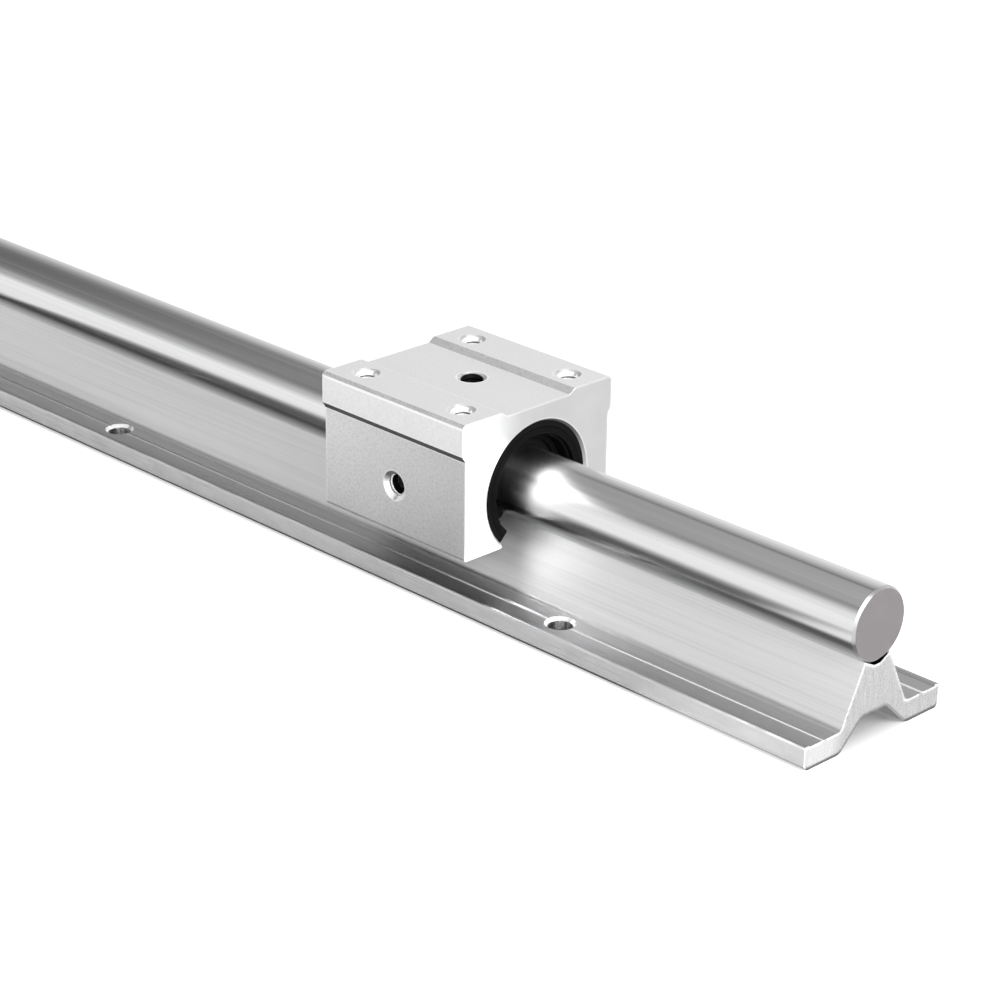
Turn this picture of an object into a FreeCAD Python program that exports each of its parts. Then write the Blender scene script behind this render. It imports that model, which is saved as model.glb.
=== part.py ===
"""Supported round rail: a 16 mm shaft on an extruded aluminium support, with one open pillow block.

Frame: +X along the rail towards the end that the photograph shows nearest, +Z up, +Y towards the far
flank.  The origin is at the middle of the rail's length and width, on the plane that it stands on.
All sizes are in millimetres and degrees.
"""
import FreeCAD, Part
import os
import re
import Sketcher
from FreeCAD import Placement, Rotation, Vector

# Driving dimensions: alias, value, what it is
SIZES = [
    ("rail_length", 300, "length of the shaft and of its support"),
    ("shaft_dia", 16, "ground shaft"),
    ("shaft_height", 25, "shaft axis above the mounting plane"),
    ("shaft_bevel", 0.5, "bevel round the shaft's ends"),
    ("base_width", 42.2, "support over both flanges"),
    ("flange_thick", 5, "thickness of the flanges where they are drilled"),
    ("lip_rise", 0.3, "how far the flanges' outer lips stand above that"),
    ("lip_width", 1.3, "width of those lips"),
    ("tip_bevel", 1.1, "bevel along the flanges' bottom outer edges"),
    ("tip_round", 0.6, "rounding along the flanges' top outer edges"),
    ("drill_line_width", 0.5, "V line along each flange that locates its holes"),
    ("drill_line_depth", 0.25, "depth of that line"),
    ("web_root_width", 20.2, "web width at the flange's top face, before its fillets"),
    ("web_root_round", 1.2, "fillet between web and flange"),
    ("seat_width", 7.8, "web width over the two seat ridges"),
    ("seat_angle", 27, "slope of the seat's sides"),
    ("seat_floor_width", 1.8, "flat at the bottom of the seat"),
    ("arch_width", 20.4, "width of the hollow under the foot, before its roundings"),
    ("arch_top_width", 7.6, "ceiling of the hollow, before its fillets"),
    ("arch_height", 6, "height of the hollow under the foot"),
    ("arch_foot_round", 3.5, "rounding at the hollow's lower edges"),
    ("arch_top_round", 1.5, "fillet at the hollow's upper corners"),
    ("base_hole_dia", 5.5, "clearance holes through the flanges"),
    ("base_hole_bevel", 0.7, "bevel at the mouths of the flange holes"),
    ("base_hole_gauge", 30, "spacing of the flange holes across the rail"),
    ("base_hole_pitch", 150, "spacing of the flange holes along the rail"),
    ("base_hole_end", 72.4, "first flange hole from the near end"),
    ("screw_dia", 5, "shaft screws"),
    ("screw_length", 16, "length of the shaft screws under their heads"),
    ("screw_head_dia", 8.5, "head of the shaft screws"),
    ("screw_head_height", 5, "height of that head"),
    ("screw_hex", 4, "hexagon socket across flats"),
    ("screw_hex_depth", 2.5, "depth of that socket"),
    ("screw_room", 0.25, "radial room round the screws in the support"),
    ("tap_over", 2, "shaft hole beyond the screw's tip"),
    ("block_length", 44.4, "pillow block along the rail"),
    ("block_width", 45, "pillow block across the rail"),
    ("block_top", 45, "block's top face above the mounting plane"),
    ("block_foot", 13.6, "block's underside above the mounting plane"),
    ("block_front", 55.3, "block's front face from the rail's middle"),
    ("band_height", 7.2, "height of the wide band at the block's top"),
    ("band_step", 0.9, "how far the sides step in below that band"),
    ("band_slope", 1.4, "height over which the sides step in"),
    ("top_edge_bevel", 0.7, "bevel along the block's upper long edges"),
    ("channel_width", 18.6, "floor of the channel between the raised pads"),
    ("channel_depth", 1.1, "depth of that channel"),
    ("channel_slope", 1.7, "width of the channel's sloping sides"),
    ("bearing_dia", 28, "block bore and outside of the bearing"),
    ("bearing_slot_angle", 80, "opening of the bearing below"),
    ("block_slot_angle", 86, "opening of the block below"),
    ("bore_bevel", 0.6, "bevel at both mouths of the block's bore"),
    ("foot_round", 1.2, "rounding of the block's inner lower edges"),
    ("top_hole_gauge", 32, "tapped top holes across the rail"),
    ("top_hole_pitch", 30, "tapped top holes along the rail"),
    ("top_hole_dia", 4.2, "core of the tapped top holes"),
    ("top_hole_depth", 12, "depth of the tapped top holes"),
    ("top_hole_mouth", 1, "countersink of the tapped top holes"),
    ("lube_hole_dia", 5, "core of the tapped hole in the middle of the top"),
    ("lube_hole_mouth", 0.85, "countersink of that hole"),
    ("lube_hole_along", 0.4, "how far it stands nearer the front than the block's middle"),
    ("lube_hole_across", 1.1, "how far it stands nearer the far flank than the block's middle"),
    ("lube_tap_depth", 3.6, "depth of its tapped part"),
    ("lube_passage_dia", 2.5, "grease passage from there down to the bore"),
    ("side_hole_dia", 5, "tapped hole in the block's side"),
    ("side_hole_mouth", 0.85, "countersink of the side hole"),
    ("side_hole_height", 24.5, "side hole above the mounting plane"),
    ("set_screw_length", 4, "set screw in the side hole"),
    ("set_screw_hex", 2.5, "hexagon socket of the set screw"),
    ("set_screw_hex_depth", 2, "depth of that socket"),
    ("sleeve_wall", 2, "wall of the bearing's outer sleeve"),
    ("fit_gap", 0.02, "radial gap between pieces pressed together"),
    ("running_gap", 0.05, "radial gap between bearing or wiper and shaft"),
    ("retainer_gap", 0.4, "radial gap between retainer and shaft"),
    ("seal_rim", 2, "thickness of the wipers' rims, between the bearing's ends and the snap rings"),
    ("seal_recess", 0.9, "how far each wiper's web lies inside the end of the bearing"),
    ("seal_thick", 1.2, "thickness of that web"),
    ("seal_wall", 0.6, "wall of the wiper inside the bearing"),
    ("seal_lip_wall", 1.25, "radial width of the wiper's lip"),
    ("seal_lip_recess", 0.4, "how far the lip lies behind the web's face"),
    ("seal_groove", 0.8, "radial width of the groove round the lip"),
    ("seal_groove_depth", 0.8, "depth of that groove"),
    ("ring_recess", 0.5, "how far the snap rings lie inside the block's faces"),
    ("ring_thick", 1.2, "thickness of the snap rings"),
    ("ring_width", 2.7, "radial width of the snap rings"),
    ("ring_seat", 0.75, "how far the seats of the snap rings are wider than the bore"),
    ("ring_angle", 92, "opening of the snap rings"),
]

doc = FreeCAD.newDocument("supported_round_rail")
sheet = doc.addObject("Spreadsheet::Sheet", "sizes")
for row, (alias, value, what) in enumerate(SIZES, start=1):
    sheet.set("A%d" % row, what)
    sheet.set("B%d" % row, str(value))
    sheet.setAlias("B%d" % row, alias)
doc.recompute()


def ref(formula):
    """A formula on the sheet's aliases, written the way an expression reads them."""
    return re.sub(r"\b[a-z]+(?:_[a-z]+)+\b", r"sizes.\g<0>", formula)


def value_of(formula):
    """The present value of a formula, as a plain number."""
    return float(sheet.evalExpression(ref(formula)))


# Places and heights that several pieces share, as formulas on the driving dimensions
SHAFT_R = "shaft_dia / 2"
BLOCK_MIDDLE = "(block_front - block_length / 2)"
NEAR_HOLE = "(rail_length / 2 - base_hole_end)"
HOLE_ROWS = {"1": NEAR_HOLE, "2": "(%s - base_hole_pitch)" % NEAR_HOLE}
SEAT_APEX = "(shaft_height - shaft_dia / 2 / cos(seat_angle))"
SEAT_RIDGE = "(%s + seat_width / 2 * tan(seat_angle))" % SEAT_APEX
SEAT_FLOOR = "(%s + seat_floor_width / 2 * tan(seat_angle))" % SEAT_APEX
RING_SEAT_R = "(bearing_dia / 2 + ring_seat)"
RING_FACE = "(block_length / 2 - ring_recess)"
RING_BACK = "(%s - ring_thick)" % RING_FACE
BEARING_END = "(%s - seal_rim)" % RING_BACK

SINK_TAPER = -45  # countersinks narrow downwards at this angle
HEXAGON = 6
NEAR_ENOUGH = 1e-3  # two points closer than this are one


def new_body(label):
    """A body whose label names its file."""
    body = doc.addObject("PartDesign::Body", label)
    body.Label = label
    return body


def new_sketch(body, name, role="YZ_Plane", offset=None):
    """A sketch on one of the body's origin planes, moved along that plane's normal by a formula."""
    sketch = body.newObject("Sketcher::SketchObject", name)
    base = next(f for f in body.Origin.OriginFeatures if f.Role == role)
    sketch.AttachmentSupport = (base, "")
    sketch.MapMode = "FlatFace"
    if offset:
        sketch.setExpression("AttachmentOffset.Base.z", ref(offset))
    return sketch


def hold(sketch, geo, point, across, up):
    """Hold one point of a sketch at two formulas, measured from the sketch's origin."""
    for kind, axis, formula in (("DistanceX", -2, across), ("DistanceY", -1, up)):
        if formula == "0":
            sketch.addConstraint(Sketcher.Constraint("PointOnObject", geo, point, axis))
        else:
            number = value_of(formula)
            index = sketch.addConstraint(Sketcher.Constraint(kind, -1, 1, geo, point, number))
            sketch.setExpression("Constraints[%d]" % index, ref(formula))


def draw_outline(sketch, corners):
    """A closed outline of straight lines through corners given as pairs of formulas."""
    spots = [Vector(value_of(a), value_of(b), 0) for a, b in corners]
    count = len(spots)
    lines = [sketch.addGeometry(Part.LineSegment(spots[i], spots[(i + 1) % count])) for i in range(count)]
    for i, line in enumerate(lines):
        sketch.addConstraint(Sketcher.Constraint("Coincident", line, 2, lines[(i + 1) % count], 1))
        hold(sketch, line, 1, *corners[i])


def draw_circle(sketch, across, up, radius):
    """A circle held at two formulas, with its radius bound to a third."""
    spot = Vector(value_of(across), value_of(up), 0)
    geo = sketch.addGeometry(Part.Circle(spot, Vector(0, 0, 1), value_of(radius)))
    hold(sketch, geo, 3, across, up)
    index = sketch.addConstraint(Sketcher.Constraint("Radius", geo, value_of(radius)))
    sketch.setExpression("Constraints[%d]" % index, ref(radius))


def mirrored(half):
    """The outline whose half at positive Y is given, closed by its mirror image."""
    other = [("-(%s)" % a if a != "0" else a, b) for a, b in reversed(half)]
    return half + [corner for corner in other if corner[0] != "0"]


def pad(body, name, sketch, length):
    feature = body.newObject("PartDesign::Pad", name)
    feature.Profile = sketch
    feature.setExpression("Length", ref(length))
    doc.recompute()
    return feature


def pocket(body, name, sketch, length=None, flip=False):
    """A cut along the sketch's normal: through everything, or as deep as a formula says."""
    before = body.Shape.Volume
    feature = body.newObject("PartDesign::Pocket", name)
    feature.Profile = sketch
    feature.Reversed = flip
    if length:
        feature.setExpression("Length", ref(length))
    else:
        feature.Type = "ThroughAll"
    doc.recompute()
    if body.Shape.Volume >= before:
        raise RuntimeError("%s removes nothing" % name)
    return feature


def countersink(body, name, sketch, depth):
    """A cone cut at the mouth of a hole, from the sketched circle down to the hole's own wall."""
    pocket(body, name, sketch, depth).TaperAngle = SINK_TAPER
    doc.recompute()


def long_edges(body, spots):
    """Names of the edges along X through the given (Y, Z) formulas, on both sides of the middle."""
    wanted = []
    for across, up in spots:
        y, z = value_of(across), value_of(up)
        wanted += [(y, z), (-y, z)]
    names = []
    for i, edge in enumerate(body.Shape.Edges, start=1):
        a, b = edge.Vertexes[0].Point, edge.Vertexes[-1].Point
        along_x = abs(a.x - b.x) > abs(a.y - b.y) + abs(a.z - b.z) + NEAR_ENOUGH
        if along_x and any(abs(a.y - y) + abs(a.z - z) < NEAR_ENOUGH for y, z in wanted):
            names.append("Edge%d" % i)
    return names


def round_edges(body, kind, names, name, dimension):
    """A fillet or chamfer on named edges of the body, with its size bound to a formula."""
    if not names:
        raise RuntimeError("%s finds no edge" % name)
    feature = body.newObject("PartDesign::" + kind, name)
    feature.Base = (body.getObject(previous(body, feature)), names)
    feature.setExpression("Radius" if kind == "Fillet" else "Size", ref(dimension))
    doc.recompute()
    return feature


def previous(body, feature):
    """Name of the solid feature that stands before a new one."""
    solid = [f for f in body.Group if f.isDerivedFrom("PartDesign::Feature") and f.Name != feature.Name]
    return solid[-1].Name


def circle_edges(body, radius):
    """Names of the body's round edges of one radius."""
    names = []
    for i, edge in enumerate(body.Shape.Edges, start=1):
        curve = edge.Curve
        if curve.TypeId == "Part::GeomCircle" and abs(curve.Radius - radius) < NEAR_ENOUGH:
            names.append("Edge%d" % i)
    return names


def on_block_face(body, name):
    """Whether a named edge lies in the block's front or back face."""
    along = body.Shape.getElement(name).CenterOfMass.x
    faces = (value_of("block_front"), value_of("block_front - block_length"))
    return any(abs(along - face) < NEAR_ENOUGH for face in faces)


def make_support_rail():
    """Extruded support: flanged foot with a hollow, tapering web, V seat, and its drilled holes."""
    body = new_body("support_rail")
    section = new_sketch(body, "support_section", offset="-rail_length / 2")
    line = "base_hole_gauge / 2"
    half = [
        ("arch_top_width / 2", "arch_height"),
        ("arch_width / 2", "0"),
        ("base_width / 2 - tip_bevel", "0"),
        ("base_width / 2", "tip_bevel"),
        ("base_width / 2", "flange_thick + lip_rise"),
        ("base_width / 2 - lip_width", "flange_thick + lip_rise"),
        ("base_width / 2 - lip_width - lip_rise", "flange_thick"),
        (line + " + drill_line_width / 2", "flange_thick"),
        (line, "flange_thick - drill_line_depth"),
        (line + " - drill_line_width / 2", "flange_thick"),
        ("web_root_width / 2", "flange_thick"),
        ("seat_width / 2", SEAT_RIDGE),
        ("seat_floor_width / 2", SEAT_FLOOR),
    ]
    draw_outline(section, mirrored(half))
    pad(body, "support_length", section, "rail_length")
    round_edges(body, "Fillet", long_edges(body, [("web_root_width / 2", "flange_thick")]),
                "web_root_fillets", "web_root_round")
    arch_feet = long_edges(body, [("arch_width / 2", "0")])
    round_edges(body, "Fillet", arch_feet, "arch_foot_fillets", "arch_foot_round")
    round_edges(body, "Fillet", long_edges(body, [("arch_top_width / 2", "arch_height")]),
                "arch_top_fillets", "arch_top_round")
    round_edges(body, "Fillet", long_edges(body, [("base_width / 2", "flange_thick + lip_rise")]),
                "tip_fillets", "tip_round")

    seats = new_sketch(body, "screw_seats", "XY_Plane")
    bores = new_sketch(body, "screw_bores", "XY_Plane")
    for row in HOLE_ROWS.values():
        draw_circle(seats, row, "0", "screw_head_dia / 2 + screw_room")
        draw_circle(bores, row, "0", "screw_dia / 2 + screw_room")
    pocket(body, "screw_seat_cuts", seats, "arch_height", flip=True)
    pocket(body, "screw_bore_cuts", bores, flip=True)

    holes = new_sketch(body, "base_holes", "XY_Plane", offset="flange_thick")
    for row in HOLE_ROWS.values():
        for side in ("", "-"):
            draw_circle(holes, row, side + "base_hole_gauge / 2", "base_hole_dia / 2")
    pocket(body, "base_hole_cuts", holes)
    mouths = new_sketch(body, "base_hole_mouths", "XY_Plane", offset="flange_thick")
    for row in HOLE_ROWS.values():
        for side in ("", "-"):
            draw_circle(mouths, row, side + "base_hole_gauge / 2", "base_hole_dia / 2 + base_hole_bevel")
    countersink(body, "base_hole_bevels", mouths, "base_hole_bevel")


def make_shaft():
    """Ground shaft with bevelled ends, tapped from below for its screws."""
    body = new_body("shaft")
    section = new_sketch(body, "shaft_section", offset="-rail_length / 2")
    draw_circle(section, "0", "shaft_height", SHAFT_R)
    pad(body, "shaft_bar", section, "rail_length")
    ends = circle_edges(body, value_of(SHAFT_R))
    round_edges(body, "Chamfer", ends, "shaft_end_bevels", "shaft_bevel")
    taps = new_sketch(body, "shaft_taps", "XY_Plane", offset="arch_height")
    for row in HOLE_ROWS.values():
        draw_circle(taps, row, "0", "screw_dia / 2 + fit_gap")
    pocket(body, "shaft_tap_cuts", taps, "screw_length + tap_over", flip=True)


def primitive(kind, name, place=None, **bound):
    """A solid primitive whose sizes, and the base of whose placement, are bound to formulas."""
    item = doc.addObject("Part::" + kind, name)
    for prop, formula in bound.items():
        item.setExpression(prop, ref(formula))
    for axis, formula in (place or {}).items():
        item.setExpression("Placement.Base." + axis, ref(formula))
    return item


def make_shaft_screw(number, row):
    """Socket-head cap screw that comes up through the support into the shaft."""
    label = "shaft_screw_" + number
    head_low = "arch_height - screw_head_height"
    head = primitive("Cylinder", label + "_head", {"x": row, "z": head_low},
                     Radius="screw_head_dia / 2", Height="screw_head_height")
    shank = primitive("Cylinder", label + "_shank", {"x": row, "z": "arch_height"},
                      Radius="screw_dia / 2", Height="screw_length")
    solid = doc.addObject("Part::Fuse", label + "_blank")
    solid.Base, solid.Tool = head, shank
    socket = primitive("Prism", label + "_socket", {"x": row, "z": head_low},
                       Circumradius="screw_hex / sqrt(3)", Height="screw_hex_depth")
    socket.Polygon = HEXAGON
    screw = doc.addObject("Part::Cut", label)
    screw.Base, screw.Tool = solid, socket
    screw.Label = label


def make_block_housing():
    """Open pillow block: stepped section, raised pads, bore with ring seats, tapped holes."""
    body = new_body("block_housing")
    section = new_sketch(body, "block_section", offset="block_front - block_length")
    slot_foot = "(shaft_height - block_foot) * tan(block_slot_angle / 2)"
    half = [
        ("0", "shaft_height"),
        (slot_foot, "block_foot"),
        ("block_width / 2 - band_step", "block_foot"),
        ("block_width / 2 - band_step", "block_top - band_height - band_slope"),
        ("block_width / 2", "block_top - band_height"),
        ("block_width / 2", "block_top - top_edge_bevel"),
        ("block_width / 2 - top_edge_bevel", "block_top"),
        ("channel_width / 2 + channel_slope", "block_top"),
        ("channel_width / 2", "block_top - channel_depth"),
    ]
    draw_outline(section, mirrored(half))
    pad(body, "block_extrusion", section, "block_length")
    round_edges(body, "Fillet", long_edges(body, [(slot_foot, "block_foot")]), "foot_fillets", "foot_round")
    bore = new_sketch(body, "block_bore", offset="block_front")
    draw_circle(bore, "0", "shaft_height", "bearing_dia / 2")
    pocket(body, "block_bore_cut", bore)
    for name, face, flip in (("front_ring_seat", "block_front", False),
                             ("back_ring_seat", "block_front - block_length", True)):
        seat = new_sketch(body, name, offset=face)
        draw_circle(seat, "0", "shaft_height", RING_SEAT_R)
        pocket(body, name + "_cut", seat, "ring_recess + ring_thick", flip=flip)
    mouths = [edge for edge in circle_edges(body, value_of(RING_SEAT_R)) if on_block_face(body, edge)]
    round_edges(body, "Chamfer", mouths, "bore_bevels", "bore_bevel")

    corners = [("%s %s top_hole_pitch / 2" % (BLOCK_MIDDLE, a), "%stop_hole_gauge / 2" % b)
               for a in "+-" for b in ("", "-")]
    taps = new_sketch(body, "top_holes", "XY_Plane", offset="block_top")
    sinks = new_sketch(body, "top_hole_sinks", "XY_Plane", offset="block_top")
    for across, up in corners:
        draw_circle(taps, across, up, "top_hole_dia / 2")
        draw_circle(sinks, across, up, "top_hole_dia / 2 + top_hole_mouth")
    pocket(body, "top_hole_cuts", taps, "top_hole_depth")
    countersink(body, "top_hole_sink_cuts", sinks, "top_hole_mouth")

    floor = "block_top - channel_depth"
    spot = BLOCK_MIDDLE + " + lube_hole_along"
    lube = new_sketch(body, "lube_hole", "XY_Plane", offset=floor)
    draw_circle(lube, spot, "lube_hole_across", "lube_hole_dia / 2")
    pocket(body, "lube_hole_cut", lube, "lube_tap_depth")
    passage = new_sketch(body, "lube_passage", "XY_Plane", offset=floor)
    draw_circle(passage, spot, "lube_hole_across", "lube_passage_dia / 2")
    pocket(body, "lube_passage_cut", passage, floor + " - shaft_height")
    sink = new_sketch(body, "lube_hole_sink", "XY_Plane", offset=floor)
    draw_circle(sink, spot, "lube_hole_across", "lube_hole_dia / 2 + lube_hole_mouth")
    countersink(body, "lube_hole_sink_cut", sink, "lube_hole_mouth")

    flank = "block_width / 2 - band_step"
    side = new_sketch(body, "side_hole", "XZ_Plane", offset=flank)
    draw_circle(side, BLOCK_MIDDLE, "side_hole_height", "side_hole_dia / 2")
    pocket(body, "side_hole_cut", side, flank)
    sink = new_sketch(body, "side_hole_sink", "XZ_Plane", offset=flank)
    draw_circle(sink, BLOCK_MIDDLE, "side_hole_height", "side_hole_dia / 2 + side_hole_mouth")
    countersink(body, "side_hole_sink_cut", sink, "side_hole_mouth")


def open_ring(label, profile, angle):
    """A turned ring round the shaft's axis, open below by an angle.  The profile is a list of (distance
    along the rail from the block's middle, radius) formulas."""
    body = new_body(label)
    sketch = new_sketch(body, label + "_profile", "XZ_Plane")
    draw_outline(sketch, [("%s + %s" % (BLOCK_MIDDLE, a), "shaft_height + %s" % b) for a, b in profile])
    line = Part.LineSegment(Vector(-1, 0, 0), Vector(1, 0, 0))
    axis = sketch.addGeometry(line, True)
    hold(sketch, axis, 1, "-block_length / 2", "shaft_height")
    hold(sketch, axis, 2, "block_length / 2", "shaft_height")
    turn = body.newObject("PartDesign::Revolution", label + "_turning")
    turn.Profile = sketch
    turn.ReferenceAxis = (sketch, ["Axis0"])
    turn.Midplane = True
    turn.setExpression("Angle", ref("360 - " + angle))
    doc.recompute()


def tube_profile(end, inner, outer):
    """Section of a plain tube that reaches as far both ways from the block's middle."""
    return [("-(%s)" % end, inner), (end, inner), (end, outer), ("-(%s)" % end, outer)]


def make_bearing():
    """Open linear bearing with its wipers and snap rings, front and back alike."""
    outer = "bearing_dia / 2 - fit_gap"
    inner = "bearing_dia / 2 - sleeve_wall"
    core = "shaft_dia / 2 + retainer_gap"
    cage = inner + " - fit_gap"
    web_face = BEARING_END + " - seal_recess"
    web_back = web_face + " - seal_thick"
    open_ring("bearing_sleeve", tube_profile(BEARING_END, inner, outer), "bearing_slot_angle")
    open_ring("ball_retainer", tube_profile(web_back, core, cage), "bearing_slot_angle")

    lip = "shaft_dia / 2 + running_gap"
    lip_top = lip + " + seal_lip_wall"
    lip_face = web_face + " - seal_lip_recess"
    groove_top = lip_top + " + seal_groove"
    groove_floor = web_face + " - seal_groove_depth"
    wall = cage + " - seal_wall"
    seal = [(web_back, lip), (lip_face, lip), (lip_face, lip_top), (groove_floor, lip_top),
            (groove_floor, groove_top), (web_face, groove_top), (web_face, wall), (RING_BACK, wall),
            (RING_BACK, outer), (BEARING_END, outer), (BEARING_END, cage), (web_back, cage)]
    ring_edge = RING_SEAT_R + " - fit_gap"
    ring_core = ring_edge + " - ring_width"
    ring = [(RING_BACK, ring_core), (RING_FACE, ring_core),
            (RING_FACE, ring_edge), (RING_BACK, ring_edge)]
    for end, sign in (("front", ""), ("back", "-")):
        open_ring("wiper_seal_" + end, [("%s(%s)" % (sign, a), b) for a, b in seal], "bearing_slot_angle")
        open_ring("snap_ring_" + end, [("%s(%s)" % (sign, a), b) for a, b in ring], "ring_angle")


def make_side_set_screw():
    """Set screw in the side hole, driven in until it bears on the bearing."""
    reach = "bearing_dia / 2 + fit_gap + set_screw_length"
    head_at = {"x": BLOCK_MIDDLE, "y": "-(%s)" % reach, "z": "side_hole_height"}
    rod = primitive("Cylinder", "set_screw_rod", head_at,
                    Radius="side_hole_dia / 2 - fit_gap", Height="set_screw_length")
    socket = primitive("Prism", "set_screw_socket", head_at,
                       Circumradius="set_screw_hex / sqrt(3)", Height="set_screw_hex_depth")
    socket.Polygon = HEXAGON
    for item in (rod, socket):
        item.Placement = Placement(item.Placement.Base, Rotation(Vector(1, 0, 0), -90))
    screw = doc.addObject("Part::Cut", "side_set_screw")
    screw.Base, screw.Tool = rod, socket
    screw.Label = "side_set_screw"


make_support_rail()
make_shaft()
for number, row in HOLE_ROWS.items():
    make_shaft_screw(number, row)
make_block_housing()
make_bearing()
make_side_set_screw()
doc.recompute()

NODES = ["support_rail", "shaft", "shaft_screw_1", "shaft_screw_2", "block_housing", "bearing_sleeve",
         "ball_retainer", "wiper_seal_front", "wiper_seal_back", "snap_ring_front", "snap_ring_back",
         "side_set_screw"]
for item in doc.Objects:
    if "Invalid" in item.State or "Error" in item.State:
        raise RuntimeError("%s did not recompute: %s" % (item.Name, item.State))
pieces = [doc.getObject(name) for name in NODES]
for piece in pieces:
    if piece.Shape.isNull() or not piece.Shape.isValid() or len(piece.Shape.Solids) != 1:
        raise RuntimeError("%s is not one valid solid" % piece.Label)
os.makedirs("parts", exist_ok=True)
for piece in pieces:
    piece.Shape.exportStep("parts/%s.step" % piece.Label)
    box = piece.Shape.BoundBox
    print("%-18s %10.1f mm3  X %.2f..%.2f  Y %.2f..%.2f  Z %.2f..%.2f" % (
        piece.Label, piece.Shape.Volume, box.XMin, box.XMax, box.YMin, box.YMax, box.ZMin, box.ZMax))
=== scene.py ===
"""Looks for a supported round rail: a chromed shaft on an extruded aluminium support, with an open
pillow block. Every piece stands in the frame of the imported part: metres, +X along the rail towards its
near end, +Z up from the mounting plane."""
import math

import bpy
from bpy.props import FloatProperty, FloatVectorProperty, PointerProperty
from mathutils import Matrix, Vector


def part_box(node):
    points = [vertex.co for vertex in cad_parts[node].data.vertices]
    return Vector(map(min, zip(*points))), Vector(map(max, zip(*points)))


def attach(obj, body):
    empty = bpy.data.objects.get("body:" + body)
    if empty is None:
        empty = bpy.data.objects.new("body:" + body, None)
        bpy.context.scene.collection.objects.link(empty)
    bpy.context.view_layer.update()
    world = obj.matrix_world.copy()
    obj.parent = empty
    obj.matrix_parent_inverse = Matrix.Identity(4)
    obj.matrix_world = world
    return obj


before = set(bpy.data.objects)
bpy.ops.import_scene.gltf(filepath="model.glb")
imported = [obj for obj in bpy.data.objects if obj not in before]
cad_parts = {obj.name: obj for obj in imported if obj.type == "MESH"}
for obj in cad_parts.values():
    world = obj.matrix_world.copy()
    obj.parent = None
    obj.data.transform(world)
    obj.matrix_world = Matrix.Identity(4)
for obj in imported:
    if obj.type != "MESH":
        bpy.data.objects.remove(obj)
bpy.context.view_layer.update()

bl_info = {
    "name": "Supported Round Rail",
    "version": (1, 0, 0),
    "blender": (4, 5, 0),
    "location": "3D View > Sidebar > Round Rail",
    "description": "Finishes and small details of a supported round rail with an open pillow block",
    "category": "Object",
}

MM = 0.001

NODE_LOW, NODE_HIGH = {}, {}
for node_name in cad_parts:
    NODE_LOW[node_name], NODE_HIGH[node_name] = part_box(node_name)

BLOCK_MIDDLE = (NODE_LOW["block_housing"].x + NODE_HIGH["block_housing"].x) / 2
BLOCK_TOP = NODE_HIGH["block_housing"].z
SHAFT_RADIUS = (NODE_HIGH["shaft"].z - NODE_LOW["shaft"].z) / 2
SHAFT_HEIGHT = NODE_HIGH["shaft"].z - SHAFT_RADIUS
RAIL_END = NODE_HIGH["support_rail"].x

# The grease hole's place from the block's middle, along and across, in millimetres
GREASE_OFFSET = (0.4, 1.1)


# Sizes and colours that a user would change


class ThreadSizes(bpy.types.PropertyGroup):
    top_gauge: FloatProperty(name="Top Hole Gauge", description="Tapped top holes across the rail",
                             default=32 * MM, subtype="DISTANCE", unit="LENGTH")
    top_pitch: FloatProperty(name="Top Hole Pitch", description="Tapped top holes along the rail",
                             default=30 * MM, subtype="DISTANCE", unit="LENGTH")
    top_radius: FloatProperty(name="Top Hole Radius", description="Wall of the tapped top holes",
                              default=2.1 * MM, subtype="DISTANCE", unit="LENGTH")
    side_height: FloatProperty(name="Side Hole Height", description="Side hole above the mounting plane",
                               default=24.5 * MM, subtype="DISTANCE", unit="LENGTH")
    wide_radius: FloatProperty(name="Wide Hole Radius", description="Wall of the side and grease holes",
                               default=2.5 * MM, subtype="DISTANCE", unit="LENGTH")
    lead: FloatProperty(name="Thread Pitch", description="Distance from one thread to the next",
                        default=0.8 * MM, subtype="DISTANCE", unit="LENGTH")
    relief: FloatProperty(name="Thread Height", description="How far the threads stand in from the wall",
                          default=0.26 * MM, subtype="DISTANCE", unit="LENGTH")


class FinishColours(bpy.types.PropertyGroup):
    support: FloatVectorProperty(name="Support", description="Extruded aluminium of the support",
                                 default=(0.84, 0.84, 0.845), subtype="COLOR", min=0, max=1)
    block: FloatVectorProperty(name="Pillow Block", description="Blasted aluminium of the block",
                               default=(0.86, 0.86, 0.865), subtype="COLOR", min=0, max=1)
    shaft: FloatVectorProperty(name="Shaft", description="Hard chrome of the shaft",
                               default=(0.86, 0.86, 0.865), subtype="COLOR", min=0, max=1)
    shaft_end: FloatVectorProperty(name="Shaft End", description="Cut face of the shaft",
                                   default=(0.345, 0.325, 0.335), subtype="COLOR", min=0, max=1)
    oxide: FloatVectorProperty(name="Black Oxide", description="Screws and snap rings",
                               default=(0.02, 0.02, 0.021), subtype="COLOR", min=0, max=1)
    rubber: FloatVectorProperty(name="Wipers", description="Moulded rubber of the wipers",
                                default=(0.006, 0.006, 0.006), subtype="COLOR", min=0, max=1)
    steel: FloatVectorProperty(name="Bearing Sleeve", description="Ground steel of the bearing",
                               default=(0.55, 0.55, 0.56), subtype="COLOR", min=0, max=1)


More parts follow.
